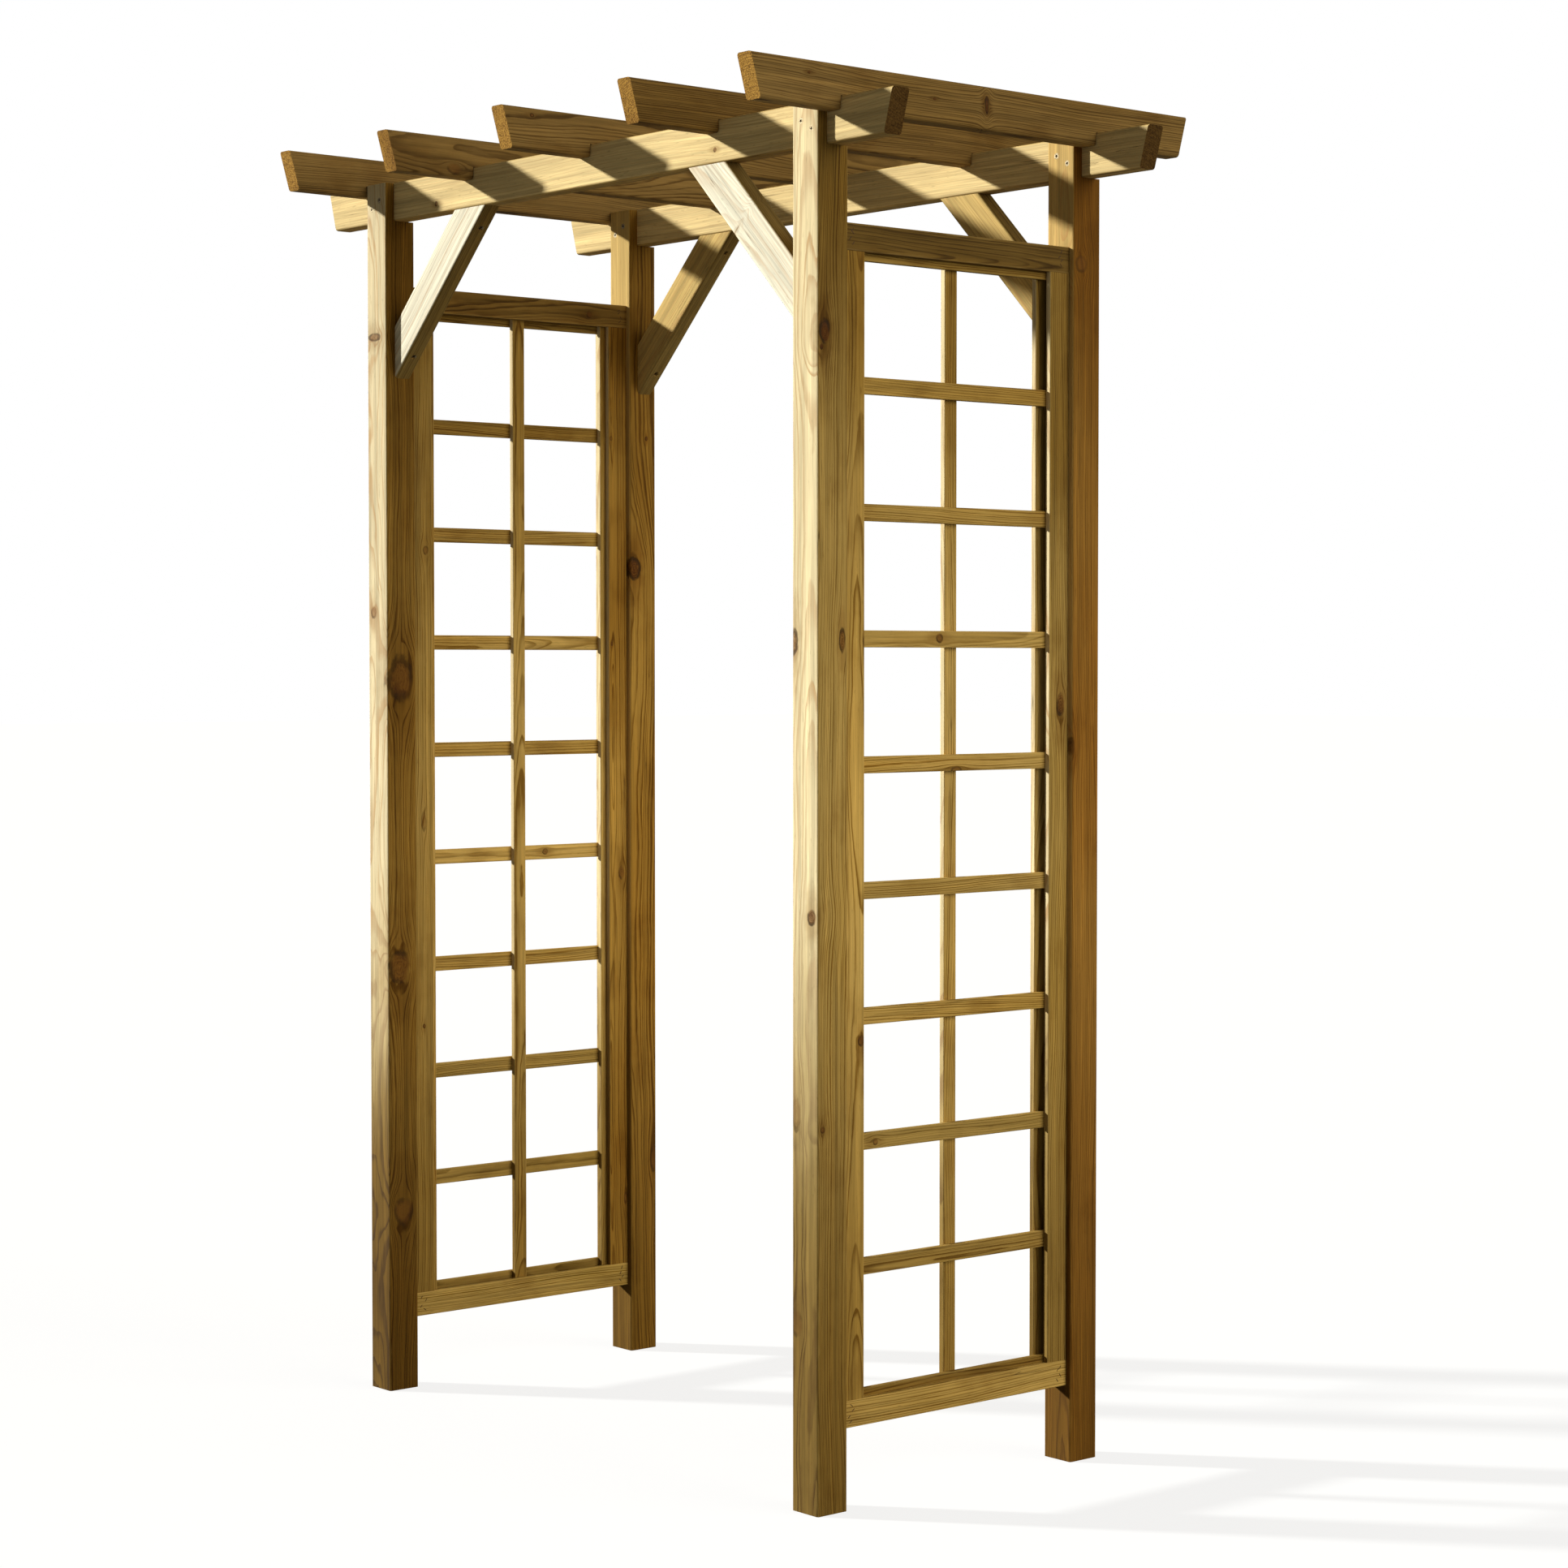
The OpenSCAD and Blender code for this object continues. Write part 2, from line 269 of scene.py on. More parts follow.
def part_of(tree, vector, axis):
    node = tree.nodes.new("ShaderNodeSeparateXYZ")
    put(tree, vector, node.inputs[0])
    return node.outputs[axis]


def fade(tree, value, start, end, low=0.0, high=1.0):
    """Goes smoothly from low to high as value goes from start to end."""
    node = tree.nodes.new("ShaderNodeMapRange")
    node.interpolation_type = "SMOOTHSTEP"
    put(tree, value, node.inputs["Value"])
    for name, number in (("From Min", start), ("From Max", end), ("To Min", low), ("To Max", high)):
        put(tree, number, node.inputs[name])
    return node.outputs[0]


def noise(tree, place, grains, seed, detail=2.0, colour=False):
    """Noise with so many grains a metre along each axis."""
    node = tree.nodes.new("ShaderNodeTexNoise")
    node.noise_dimensions = "4D"
    put(tree, vector_node(tree, "MULTIPLY", place, grains), node.inputs["Vector"])
    put(tree, seed, node.inputs["W"])
    node.inputs["Scale"].default_value = 1.0
    node.inputs["Detail"].default_value = detail
    return node.outputs["Color"] if colour else node.outputs[0]


def wobble(tree, place, grains, seed, detail=2.0):
    """A vector that strays up to half a unit from zero along each axis."""
    stray = noise(tree, place, grains, seed, detail, colour=True)
    return vector_node(tree, "SUBTRACT", stray, (0.5, 0.5, 0.5))


def blend(tree, amount, a, b, kind="MIX"):
    node = tree.nodes.new("ShaderNodeMix")
    node.data_type = "RGBA"
    node.blend_type = kind
    put(tree, amount, node.inputs[0])
    put(tree, a, node.inputs[6])
    put(tree, b, node.inputs[7])
    return node.outputs[2]


def bumped(tree, height, strength, distance):
    """A surface direction that follows small heights."""
    bump = tree.nodes.new("ShaderNodeBump")
    bump.inputs["Strength"].default_value = strength
    bump.inputs["Distance"].default_value = distance
    tree.links.new(height, bump.inputs["Height"])
    return bump.outputs[0]


def new_group(name, inputs, outputs):
    tree = bpy.data.node_groups.new(name, "ShaderNodeTree")
    for label, kind, direction in [(*i, "INPUT") for i in inputs] + [(*o, "OUTPUT") for o in outputs]:
        tree.interface.new_socket(label, in_out=direction, socket_type="NodeSocket" + kind)
    return tree, tree.nodes.new("NodeGroupInput").outputs, tree.nodes.new("NodeGroupOutput").inputs


def new_material(name):
    """A material, its tree, its shader and the place on the object."""
    material = bpy.data.materials.new(name)
    material.use_nodes = True
    tree = material.node_tree
    where = tree.nodes.new("ShaderNodeTexCoord").outputs["Object"]
    return material, tree, tree.nodes["Principled BSDF"], where


def finish(name, material):
    """Gives one piece its only material."""
    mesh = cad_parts[name].data
    mesh.materials.clear()
    mesh.materials.append(material)


# Camera, floor and light

def place_camera():
    bpy.ops.object.camera_add(location=CAMERA_PLACE, rotation=[math.radians(turn) for turn in CAMERA_TURN])
    camera = bpy.context.object
    camera.name = "camera"
    camera.data.sensor_width = CAMERA_SENSOR
    camera.data.lens = CAMERA_LENS
    bpy.context.scene.camera = camera


def lay_floor():
    """A plain pale floor that turns white where light falls on it and keeps the shadow."""
    bpy.ops.mesh.primitive_plane_add(size=FLOOR_SIZE, location=(0, 0, 0))
    floor = bpy.context.object
    floor.name = "floor"
    material = bpy.data.materials.new("pale floor")
    material.use_nodes = True
    tree = material.node_tree
    tree.nodes.clear()
    paint = tree.nodes.new("ShaderNodeBsdfDiffuse")
    paint.inputs["Color"].default_value = FLOOR_PAINT
    glow = tree.nodes.new("ShaderNodeEmission")
    glow.inputs["Color"].default_value = WHITE
    ray = tree.nodes.new("ShaderNodeLightPath")
    put(tree, times(tree, ray.outputs["Is Camera Ray"], FLOOR_GLOW), glow.inputs["Strength"])
    both = tree.nodes.new("ShaderNodeAddShader")
    out = tree.nodes.new("ShaderNodeOutputMaterial")
    tree.links.new(paint.outputs[0], both.inputs[0])
    tree.links.new(glow.outputs[0], both.inputs[1])
    tree.links.new(both.outputs[0], out.inputs[0])
    floor.data.materials.append(material)


def hang_lamp(name, place, shines, strength, spread, colour):
    """A far lamp that shines one way. Its spread in degrees softens the shadows."""
    bpy.ops.object.light_add(type="SUN", location=place)
    lamp = bpy.context.object
    lamp.name = name
    lamp.rotation_euler = Vector(shines).to_track_quat("-Z", "Y").to_euler()
    lamp.data.energy = strength
    lamp.data.angle = math.radians(spread)
    lamp.data.color = colour


def light_the_room():
    """A key light from the front left, a soft one from the right, and even light from all round."""
    hang_lamp("key light", place=(-4.4, -3.7, 3.0), shines=(1.19, 1.0, -0.56),
              strength=6.0, spread=3, colour=(0.98, 0.99, 1.0))
    hang_lamp("side light", place=(4.0, 1.8, 1.6), shines=(-1.0, -0.45, -0.35),
              strength=1.95, spread=50, colour=(1.0, 0.93, 0.77))
    world = bpy.data.worlds.new("room")
    bpy.context.scene.world = world
    world.use_nodes = True
    tree = world.node_tree
    tree.nodes.clear()
    even = tree.nodes.new("ShaderNodeBackground")
    even.inputs["Color"].default_value = ROOM_COLOUR
    even.inputs["Strength"].default_value = ROOM_STRENGTH
    white = tree.nodes.new("ShaderNodeBackground")
    white.inputs["Color"].default_value = WHITE
    white.inputs["Strength"].default_value = 1.0

    # The camera, glossy surfaces and clear ones see white all round
    ray = tree.nodes.new("ShaderNodeLightPath")
    seen = math_node(tree, "MAXIMUM", ray.outputs["Is Camera Ray"], ray.outputs["Is Glossy Ray"])
    seen = math_node(tree, "MAXIMUM", seen, ray.outputs["Is Transmission Ray"])
    mix = tree.nodes.new("ShaderNodeMixShader")
    out = tree.nodes.new("ShaderNodeOutputWorld")
    tree.links.new(seen, mix.inputs[0])
    tree.links.new(even.outputs[0], mix.inputs[1])
    tree.links.new(white.outputs[0], mix.inputs[2])
    tree.links.new(mix.outputs[0], out.inputs[0])
    bpy.context.scene.view_settings.view_transform = "Standard"


# Knots

def make_knot_group():
    """One knot, an ellipsoid that the grain flows round. Each output carries the knots before it."""
    tree, given, result = new_group(
        "knot",
        [("Place", "Vector"), ("Centre", "Vector"), ("Size", "Vector"), ("Dark", "Float"),
         ("Heart", "Float"), ("Rim", "Float"), ("Shade", "Float"), ("Flow", "Vector")],
        [("Heart", "Float"), ("Rim", "Float"), ("Shade", "Float"), ("Flow", "Vector")])
    place, dark = given["Place"], given["Dark"]
    off = vector_node(tree, "SUBTRACT", place, given["Centre"])
    away = vector_node(tree, "DIVIDE", off, given["Size"])

    # Distance from the centre: 1 at the knot's edge, which is lumpy and ragged
    lumps = noise(tree, place, KNOT_LUMPS, 3.0)
    ragged = noise(tree, place, KNOT_EDGE, 5.0)
    distance = math_node(tree, "ADD", vector_node(tree, "LENGTH", away), scaled(tree, lumps, 0.7, -0.35))
    distance = math_node(tree, "ADD", distance, scaled(tree, ragged, 0.36, -0.18))

    # The heart has faint rings of its own
    heart = times(tree, fade(tree, distance, 0.70, 1.15, 1.0, 0.0), scaled(tree, dark, 0.8, 0.2))
    ring = math_node(tree, "FRACT", times(tree, distance, KNOT_RINGS))
    heart = times(tree, heart, scaled(tree, fade(tree, ring, 0.2, 0.9), 0.26, 0.74))
    heart = times(tree, heart, scaled(tree, ragged, 1.1, 0.45))

    # The dark line round it is broken, and whole along a crescent
    rim = times(tree, fade(tree, distance, 0.52, 0.86), fade(tree, distance, 0.98, 1.20, 1.0, 0.0))
    broken = fade(tree, noise(tree, place, KNOT_GAPS, 9.0), 0.38, 0.60)
    crescent = fade(tree, vector_node(tree, "DOT_PRODUCT", away, CRESCENT_SIDE), 0.05, 0.55)
    rim = times(tree, rim, math_node(tree, "MAXIMUM", broken, crescent), scaled(tree, dark, 0.6, 0.4))

    # The wood round it is darker, and further so along the board
    along = vector_node(tree, "LENGTH", vector_node(tree, "MULTIPLY", away, (1, 1, 0.42)))
    cloudy = scaled(tree, lumps, 1.6, math_node(tree, "SUBTRACT", along, 0.8))
    shade = times(tree, fade(tree, cloudy, 0.6, 2.3, 1.0, 0.0), scaled(tree, dark, 0.8, 0.10))
    for name, value in (("Heart", heart), ("Rim", rim), ("Shade", shade)):
        put(tree, math_node(tree, "MAXIMUM", value, given[name]), result[name])

    # The rings part at the knot and close again, as water does round a stone
    apart = vector_node(tree, "LENGTH", vector_node(tree, "MULTIPLY", away, (1, 1, 0.7)))
    apart = times(tree, apart, apart)
    push = math_node(tree, "DIVIDE", -0.92, math_node(tree, "MAXIMUM", apart, 1.0))
    bend = math_node(tree, "EXPONENT", times(tree, apart, -0.11))
    push = math_node(tree, "MAXIMUM", scaled(tree, bend, -0.30, push), -0.94)
    flow = vector_node(tree, "SCALE", vector_node(tree, "MULTIPLY", off, (1, 1, 0)), push)
    put(tree, vector_node(tree, "ADD", flow, given["Flow"]), result["Flow"])
    return tree


# Softwood

def lay_rings(tree, given):
    """Late wood, the dark end of each year. The pith is off the board, leans, and wanders slowly."""
    place, seed = given["Place"], given["Seed"]
    centred = vector_node(tree, "ADD", vector_node(tree, "SUBTRACT", place, given["Pith"]), given["Flow"])
    slow = vector_node(tree, "MULTIPLY", wobble(tree, place, SLOW_BENDS, seed, 1.0), SLOW_REACH)
    fine = vector_node(tree, "SCALE", wobble(tree, place, FINE_BENDS, seed), given["Wave"])
    shaky = vector_node(tree, "MULTIPLY", wobble(tree, place, SHAKY_BENDS, seed), SHAKY_REACH)
    wander = vector_node(tree, "ADD", vector_node(tree, "ADD", slow, fine), shaky)
    flat = vector_node(tree, "MULTIPLY", vector_node(tree, "ADD", centred, wander), (1, 1, 0))
    depth = scaled(tree, part_of(tree, place, "Z"), given["Lean"], vector_node(tree, "LENGTH", flat))

    # Years differ in width and in how dark they end
    years = math_node(tree, "DIVIDE", depth, given["Ring"])
    uneven = tree.nodes.new("ShaderNodeTexNoise")
    uneven.noise_dimensions = "1D"
    put(tree, math_node(tree, "ADD", times(tree, years, 0.37), seed), uneven.inputs["W"])
    uneven.inputs["Scale"].default_value = 1.0
    years = scaled(tree, uneven.outputs[0], 2.2, years)
    season = math_node(tree, "FRACT", years)
    late = times(tree, fade(tree, season, 0.45, 0.88), fade(tree, season, 0.90, 1.0, 1.0, 0.0))
    one_year = tree.nodes.new("ShaderNodeTexWhiteNoise")
    one_year.noise_dimensions = "1D"
    put(tree, math_node(tree, "ADD", math_node(tree, "FLOOR", years), seed), one_year.inputs["W"])
    return times(tree, late, scaled(tree, one_year.outputs["Value"], 0.55, 0.55))


def grow_grain(tree, given):
    """The marks that the wood's colours and its relief share."""
    place, seed = given["Place"], given["Seed"]
    other_seed = math_node(tree, "ADD", seed, 7.0)
    late = lay_rings(tree, given)

    # How strong the rings show changes over the board, and along each of them
    strong = fade(tree, noise(tree, place, STRONG_RINGS, seed), 0.30, 0.65, 0.65, 1.0)
    broken = fade(tree, noise(tree, place, RING_BREAKS, other_seed), 0.30, 0.62, 0.60, 1.0)
    rings = times(tree, times(tree, late, strong), times(tree, broken, given["Figure"]))

    # Short dark checks follow the fibres
    check = math_node(tree, "SUBTRACT", noise(tree, place, CHECKS, other_seed, 1.0), 0.5)
    check = fade(tree, math_node(tree, "ABSOLUTE", check), 0.0, 0.012, 1.0, 0.0)
    check = times(tree, check, fade(tree, noise(tree, place, CHECKED_PLACES, other_seed, 1.0), 0.60, 0.68))
    return {
        "late": late,
        "rings": rings,
        "check": check,
        "fibre": noise(tree, place, FIBRES, seed, 3.0),
        "thread": noise(tree, place, THREADS, seed, 3.0),
        "streak": noise(tree, place, STREAKS, seed),
        "cloud": noise(tree, place, CLOUDS, seed, 3.0),
        "patch": noise(tree, place, PATCHES, other_seed, 4.0),
        "pores": noise(tree, place, PORES, seed, 3.0),
        "fleck": fade(tree, noise(tree, place, FLECKS, other_seed, 1.0), 0.66, 0.74),
        "nicks": noise(tree, place, NICKS, seed),
    }


def colour_rings(tree, given, grain):
    """Early and late wood with its stains, paled by painted sunlight on the front and left faces, under
    fibres and streaks.
    """
    wood = blend(tree, grain["rings"], given["Pale"], given["Dark"])
    wood = blend(tree, fade(tree, grain["cloud"], 0.40, 0.70, 0.0, 0.85), wood, given["Stain"], "MULTIPLY")
    wood = blend(tree, fade(tree, grain["patch"], 0.48, 0.74, 0.0, 0.65), wood, DULL_PATCH, "MULTIPLY")
    # Painted sunlight: the front faces, and the left ones a little, are paled towards a lighter colour
    wood = blend(tree, given["Bleach"], wood, given["Faded"])
    tone = times(tree, scaled(tree, grain["fibre"], 0.60, 0.72), scaled(tree, grain["thread"], 0.80, 0.60))
    tone = times(tree, tone, scaled(tree, grain["streak"], 1.00, 0.50))
    wood = blend(tree, 1.0, wood, tone, "MULTIPLY")

    # The late wood keeps some of its colour through the painted sunlight
    return blend(tree, times(tree, times(tree, given["Bleach"], grain["rings"]), 0.65), wood, LATE_IN_SUN)


def weather_wood(tree, given, grain, wood):
    """The height tint changes along the board, and is painted shade under the roof. Its long edges are paler,
    from wear and a painted highlight.
    """
    along = part_of(tree, vector_node(tree, "DIVIDE", given["Place"], given["Half"]), "Z")
    along = scaled(tree, math_node(tree, "SUBTRACT", grain["cloud"], 0.5), 0.9, along)
    tint = blend(tree, fade(tree, along, -1.0, 0.0), given["Near"], given["Middle"])
    tint = blend(tree, fade(tree, along, 0.0, 1.0), tint, given["Far"])
    # The height tint, painted shade under the roof, is mostly kept off the front faces, which are painted as
    # lit
    wood = blend(tree, rest_of(tree, given["Open"]), wood, tint, "MULTIPLY")
    # Paler along the long edges: wear, and a painted highlight on the rounded arrises
    from_edge = vector_node(tree, "SUBTRACT", given["Half"], vector_node(tree, "ABSOLUTE", given["Place"]))
    from_edge = math_node(tree, "MAXIMUM", part_of(tree, from_edge, "X"), part_of(tree, from_edge, "Y"))
    from_edge = math_node(tree, "ADD", from_edge, scaled(tree, grain["nicks"], 0.008, -0.004))
    return blend(tree, fade(tree, from_edge, 0.0008, 0.0032, 0.22, 0.0), wood, given["Pale"])


def saw_ends(tree, given, grain, wood):
    """Sawn ends: open pores and torn fibres, with the rings across them."""
    sawn = blend(tree, fade(tree, grain["pores"], 0.38, 0.62), SAWN_DARK, SAWN_PALE)
    torn = times(tree, fade(tree, grain["pores"], 0.34, 0.42, 1.0, 0.0), given["Torn"])
    sawn = blend(tree, torn, sawn, TORN_PORE)
    sawn = blend(tree, times(tree, grain["late"], 0.6), sawn, SAWN_RING, "MULTIPLY")
    sawn = blend(tree, fade(tree, grain["patch"], 0.45, 0.7, 0.0, 0.6), sawn, SAWN_PATCH, "MULTIPLY")
    sawn = blend(tree, 1.0, sawn, given["Sawn"], "MULTIPLY")
    return blend(tree, given["End"], wood, sawn)


def colour_knots(tree, given, wood):
    """Knots are red-brown, with a dark broken line and darker wood round them. Sawn ends show none."""
    side_wood = rest_of(tree, given["End"])
    shade = times(tree, given["Shade"], times(tree, side_wood, 0.7))
    wood = blend(tree, shade, wood, KNOT_HALO, "MULTIPLY")
    heart = times(tree, given["Heart"], side_wood)
    wood = blend(tree, times(tree, heart, 0.7), wood, KNOT_HEART)
    wood = blend(tree, heart, wood, KNOT_HEART_STAIN, "MULTIPLY")
    wood = blend(tree, fade(tree, heart, 0.45, 0.95), wood, KNOT_CORE_STAIN, "MULTIPLY")
    rim = times(tree, given["Rim"], times(tree, side_wood, 0.85))
    return blend(tree, rim, wood, KNOT_LINE)


def roughen(tree, given, grain):
    """Late wood and knots are a little smoother than the rest."""
    rough = scaled(tree, grain["late"], -0.12, 0.74)
    rough = scaled(tree, grain["fibre"], 0.10, rough)
    return scaled(tree, given["Heart"], -0.15, rough)


def raise_grain(tree, given, grain):
    """Late wood and fibres stand up. Checks and the line round a knot are cut in."""
    height = times(tree, grain["late"], 0.15)
    height = scaled(tree, grain["fibre"], 0.35, height)
    height = scaled(tree, grain["thread"], 0.30, height)
    height = scaled(tree, grain["check"], -0.6, height)
    height = scaled(tree, times(tree, grain["pores"], given["End"]), 1.6, height)
    return scaled(tree, given["Rim"], -0.5, height)


def make_softwood_group():
    """Softwood sawn from a log: yearly rings, fibres, stains, wear, sawn ends and knots."""
    tree, given, result = new_group(
        "softwood",
        [("Place", "Vector"), ("Pith", "Vector"), ("Seed", "Float"), ("Ring", "Float"), ("Figure", "Float"),
         ("Wave", "Float"), ("Lean", "Float"), ("Half", "Vector"),
         ("Pale", "Color"), ("Dark", "Color"), ("Stain", "Color"),
         ("Near", "Color"), ("Middle", "Color"), ("Far", "Color"),
         ("Sawn", "Color"), ("Torn", "Float"), ("End", "Float"),
         ("Bleach", "Float"), ("Faded", "Color"), ("Open", "Float"),
         ("Heart", "Float"), ("Rim", "Float"), ("Shade", "Float"), ("Flow", "Vector")],
        [("Color", "Color"), ("Roughness", "Float"), ("Height", "Float")])
    grain = grow_grain(tree, given)
    wood = colour_rings(tree, given, grain)
    wood = weather_wood(tree, given, grain, wood)
    wood = blend(tree, times(tree, grain["check"], 0.6), wood, CHECK)
    wood = blend(tree, times(tree, grain["fleck"], 0.22), wood, FLECK)
    wood = saw_ends(tree, given, grain, wood)
    put(tree, colour_knots(tree, given, wood), result["Color"])
    put(tree, roughen(tree, given, grain), result["Roughness"])
    put(tree, raise_grain(tree, given, grain), result["Height"])
    return tree


# Boards

def slanted(side):
    """The grain's direction in a brace that rises from the post on that side."""
    length = Vector((-side, 0, 1)).normalized()
    across = Vector((0, 1, 0))
    return Matrix((across.cross(length), across, length)).transposed()


def tint_at_height(height, amount):
    """Timber is darker and browner towards the foot and under the roof, where the darkening is painted shade.
    """
    for (z0, f0), (z1, f1) in zip(HEIGHT_TINTS, HEIGHT_TINTS[1:]):
        if height <= z1:
            light = f0 + (f1 - f0) * max(0.0, height - z0) / (z1 - z0)
            break
    light = 1 + (light - 1) * amount
    return light, light ** GREEN_LOSS, light ** BLUE_LOSS


def measure_board(name, turn):
    """The centre, half the size along the board's own axes, and heights from one end to the other."""
    low, high = [Vector(corner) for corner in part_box(name)]
    centre = (low + high) / 2
    half = Vector([abs(v) for v in turn.transposed() @ ((high - low) / 2)])
    if name.startswith("brace"):
        # The box of a slanted board says nothing of its edges, so they get no paler edges, neither wear nor
        # painted highlight
        half = Vector((1, 1, half.z))
    upright = turn.col[2].z > 0.9
    heights = (low.z, centre.z, high.z) if upright else (centre.z,) * 3
    return centre, half, heights


def add_knots(tree, place, name, turn, centre):
    """Chains the board's knots, and gives what the last one hands on."""
    carried = {"Heart": None, "Rim": None, "Shade": None, "Flow": None}
    for spot, size, dark in KNOTS.get(name, ()):
        knot = tree.nodes.new("ShaderNodeGroup")
        knot.node_tree = KNOT
        put(tree, place, knot.inputs["Place"])
        knot.inputs["Centre"].default_value = turn.transposed() @ (Vector(spot) * MM - centre)
        knot.inputs["Size"].default_value = [abs(v) for v in turn.transposed() @ (Vector(size) * MM)]
        knot.inputs["Dark"].default_value = dark
        for part in carried:
            put(tree, carried[part], knot.inputs[part])
            carried[part] = knot.outputs[part]
    return carried


# Each board has its own share and colour of painted sunlight on its front faces, and its own share of the
# height tint, which is painted shade under the roof
def timber(name, turn, wood_kind, pith, ring, figure=1.5, wave=0.006, lean=0.010,
           tone=1.0, height_tint=1.0, painted_sun=0.3, painted_sun_colour=CREAM, sawn=PLAIN_END, torn=0.6):
    """Finishes one board. The pith is in metres from the board's centre, and ring is a year's width."""
    pale, dark, stain = wood_kind
    centre, half, heights = measure_board(name, turn)
    # Height tints at the board's low end, middle and high end: darker towards the foot, and painted shade
    # under the roof
    near, middle, far = [[light * tone for light in tint_at_height(z, height_tint)] for z in heights]
    material, tree, shader, where = new_material(name + " timber")
    board = tree.nodes.new("ShaderNodeMapping")
    board.vector_type = "TEXTURE"
    board.inputs["Location"].default_value = centre
    board.inputs["Rotation"].default_value = turn.to_euler()
    put(tree, where, board.inputs["Vector"])
    place = board.outputs[0]

    # Painted sunlight pales the front faces most and the left faces a little. Low down the front faces get
    # painted shade instead, up to an uneven line
    normal = tree.nodes.new("ShaderNodeNewGeometry").outputs["True Normal"]
    end = math_node(tree, "ABSOLUTE", vector_node(tree, "DOT_PRODUCT", normal, turn.col[2]))
    front = vector_node(tree, "DOT_PRODUCT", normal, (0, -1, 0))
    left = vector_node(tree, "DOT_PRODUCT", normal, (-1, 0, 0))
    painted_sun_mask = math_node(tree, "ADD", fade(tree, front, *TURNED_TO, 0.0, painted_sun),
                       fade(tree, left, *TURNED_TO, 0.0, LEFT_PAINTED_SUN * painted_sun))
    line = noise(tree, where, PAINTED_SHADE_EDGE, 3.0)
    above_painted_shade = fade(tree, scaled(tree, line, 0.5, part_of(tree, where, "Z")), *PAINTED_SHADE_TOP, PAINTED_SHADE_SUN, 1.0)
    painted_low_shade_mask = times(tree, fade(tree, front, *TURNED_TO), rest_of(tree, above_painted_shade))

    wood = tree.nodes.new("ShaderNodeGroup")
    wood.node_tree = SOFTWOOD
    for label, value in (
            ("Place", place), ("Pith", (*pith, 0)), ("Seed", random.uniform(0, 50)), ("Ring", ring),
            ("Figure", figure), ("Wave", wave), ("Lean", lean), ("Half", half),
            ("Pale", (*pale, 1)), ("Dark", (*dark, 1)), ("Stain", (*stain, 1)),
            ("Near", (*near, 1)), ("Middle", (*middle, 1)), ("Far", (*far, 1)),
            ("Sawn", (*sawn, 1)), ("Torn", torn), ("End", fade(tree, end, *TURNED_END)),
            # Painted sunlight, which gives way to painted shade low on the front faces
            ("Bleach", times(tree, painted_sun_mask, above_painted_shade)), ("Faded", (*painted_sun_colour, 1)),
            # The front faces, painted as lit, are spared most of the height tint
            ("Open", times(tree, fade(tree, front, *TURNED_TO, 0.0, FRONT_PAINTED_LIT), above_painted_shade)),
            *add_knots(tree, place, name, turn, centre).items()):
        put(tree, value, wood.inputs[label])
    # Painted shade darkens the front faces low down
    put(tree, blend(tree, painted_low_shade_mask, wood.outputs["Color"], PAINTED_LOW_SHADE, "MULTIPLY"), shader.inputs["Base Color"])
    put(tree, wood.outputs["Roughness"], shader.inputs["Roughness"])
    put(tree, bumped(tree, wood.outputs["Height"], 0.6, 1 * MM), shader.inputs["Normal"])
    shader.inputs["Specular IOR Level"].default_value = 0.06
    finish(name, material)


def finish_posts():
    timber("post_front_right", ALONG["z"], GOLD, pith=(0.012, 0.050), ring=0.0036, tone=0.85, painted_sun=0.7)
    timber("post_front_left", ALONG["z"], BROWN, pith=(-0.02, 0.07), ring=0.0034, wave=0.012,
           tone=0.88, painted_sun=0.75)
    timber("post_back_right", ALONG["z"], RUSSET, pith=(0.015, -0.07), ring=0.0036, figure=1.25,
           tone=0.93, painted_sun=0.8, painted_sun_colour=STRAW)
    timber("post_back_left", ALONG["z"], BROWN, pith=(-0.055, -0.04), ring=0.0034, wave=0.008,
           tone=1.1, painted_sun=0.8, painted_sun_colour=STRAW)


def finish_roof():
    for name, pith, ring in (("beam_front", (0.03, 0.075), 0.0040), ("beam_back", (-0.03, -0.08), 0.0042)):
        timber(name, ALONG["x"], HONEY, pith=pith, ring=ring, figure=0.9, height_tint=0,
               painted_sun=0.65, painted_sun_colour=BUFF, sawn=BEAM_END, torn=0.3)
    for i, pith in RAFTER_PITHS.items():
        timber("rafter_%d" % i, ALONG["y"], TAN, pith=pith, ring=random.uniform(0.0030, 0.0040),
               lean=0.006, height_tint=0, tone=0.75 if i == 5 else 0.68, sawn=RAFTER_END)
    for end, painted_sun, painted_sun_colour in (("front", 0.95, CHALK), ("back", 0.75, STRAW)):
        for side, sign in (("left", -1), ("right", 1)):
            timber("brace_%s_%s" % (end, side), slanted(sign), GOLD, pith=(random.uniform(-0.03, 0.03), 0.05),
                   ring=random.uniform(0.0036, 0.0044), figure=0.9, height_tint=0, tone=0.4,
                   painted_sun=painted_sun, painted_sun_colour=painted_sun_colour)


